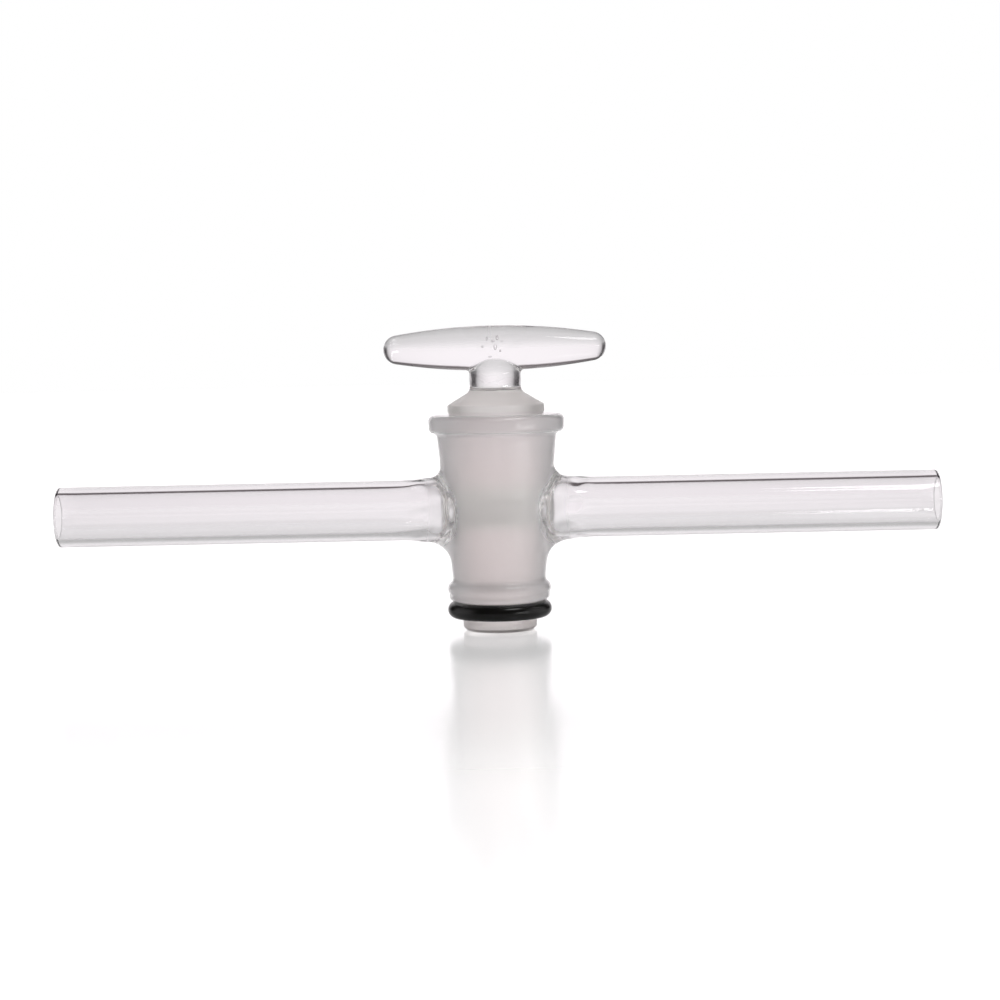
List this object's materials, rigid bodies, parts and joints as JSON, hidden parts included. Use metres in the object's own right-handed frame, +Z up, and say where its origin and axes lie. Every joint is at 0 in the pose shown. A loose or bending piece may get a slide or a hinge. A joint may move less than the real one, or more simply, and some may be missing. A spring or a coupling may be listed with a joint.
{
  "type": "glass stopcock",
  "caption": "Straight-bore laboratory stopcock: glass barrel with two in-line side tubes, a ground taper key with a solid cross handle and a rubber retaining ring.",
  "frame": {"origin": "middle of the flat foot of the key, on the surface that the stopcock stands on", "axes": "+Z up along the axis of the barrel and key, towards the handle; +X along the side tubes; the key is open at rest, with its handle along X"},
  "size_m": [0.176, 0.0272, 0.0609],
  "materials": {
    "barrel_glass": "clear drawn and blown borosilicate glass, fire polished outside, finely ground in the tapered socket",
    "key_glass": "solid borosilicate glass, finely ground from the foot to the shoulder, clear stem and handle",
    "ring_rubber": "smooth black moulded rubber, slightly glossy"
  },
  "bodies": {
    "barrel": {"barrel": "barrel_glass"},
    "key": {"key": "key_glass", "retaining_ring": "ring_rubber"}
  },
  "joints": [
    {"name": "key_turn", "type": "hinge", "parent": "barrel", "child": "key", "pos_m": [0, 0, 0.0243], "axis": [0, 0, 1], "continuous": true}
  ]
}
